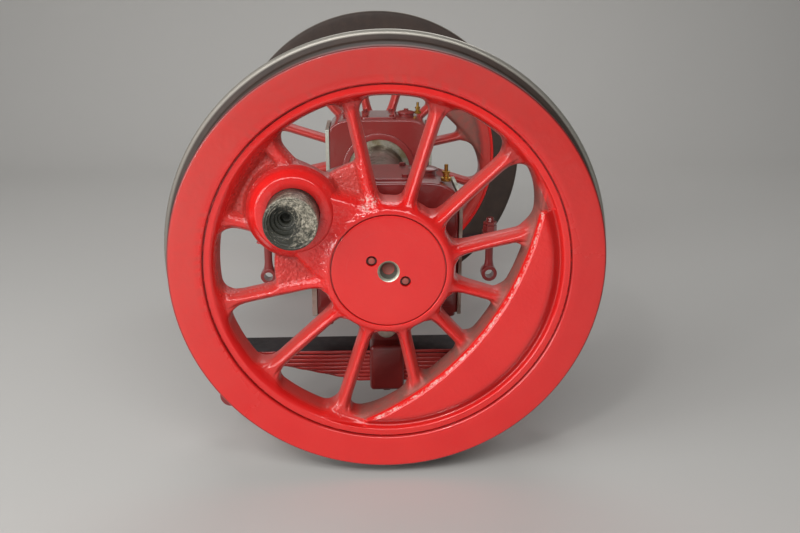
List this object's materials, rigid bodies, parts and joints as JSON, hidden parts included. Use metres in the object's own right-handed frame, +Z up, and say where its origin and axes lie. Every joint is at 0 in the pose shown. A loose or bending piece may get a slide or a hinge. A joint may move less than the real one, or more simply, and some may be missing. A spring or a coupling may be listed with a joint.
{
  "type": "steam locomotive coupled wheelset",
  "caption": "Spoked coupled wheelset of a steam locomotive on its axle, with crank pins, balance weights, axleboxes and underslung leaf springs.",
  "frame": {"origin": "middle of the axle, midway between the horn guides that hold the axleboxes", "axes": "+Z up, Y along the axle with the left-hand wheel at -Y, -X towards the locomotive's front"},
  "size_m": [1.156, 1.816, 1.156],
  "materials": {
    "signal_red": "gloss enamel",
    "worn_tread": "worn steel, brown with rust",
    "greased_steel": "bare machined steel under old grease",
    "bare_steel": "bare machined steel, oiled",
    "bearing_bronze": "dull bronze"
  },
  "bodies": {
    "running_gear": {"axlebox_left": "signal_red", "bearing_brass_left": "bearing_bronze", "keep_left": "signal_red", "guide_liners_left": "bare_steel", "axlebox_tie_left": "signal_red", "spring_pin_left": "bare_steel", "spring_leaves_left": "signal_red", "spring_buckle_left": "signal_red", "spring_hangers_left": "signal_red", "axlebox_right": "signal_red", "bearing_brass_right": "bearing_bronze", "keep_right": "signal_red", "guide_liners_right": "bare_steel", "axlebox_tie_right": "signal_red", "spring_pin_right": "bare_steel", "spring_leaves_right": "signal_red", "spring_buckle_right": "signal_red", "spring_hangers_right": "signal_red"},
    "wheelset": {"axle": "bare_steel", "tyre_left": "worn_tread", "tyre_ring_left": "signal_red", "wheel_centre_left": "signal_red", "crank_pin_left": "greased_steel", "tyre_right": "worn_tread", "tyre_ring_right": "signal_red", "wheel_centre_right": "signal_red", "crank_pin_right": "greased_steel"}
  },
  "joints": [
    {"name": "axle_turn", "type": "hinge", "parent": "running_gear", "child": "wheelset", "pos_m": [0, 0, 0], "axis": [0, 1, 0], "continuous": true}
  ]
}
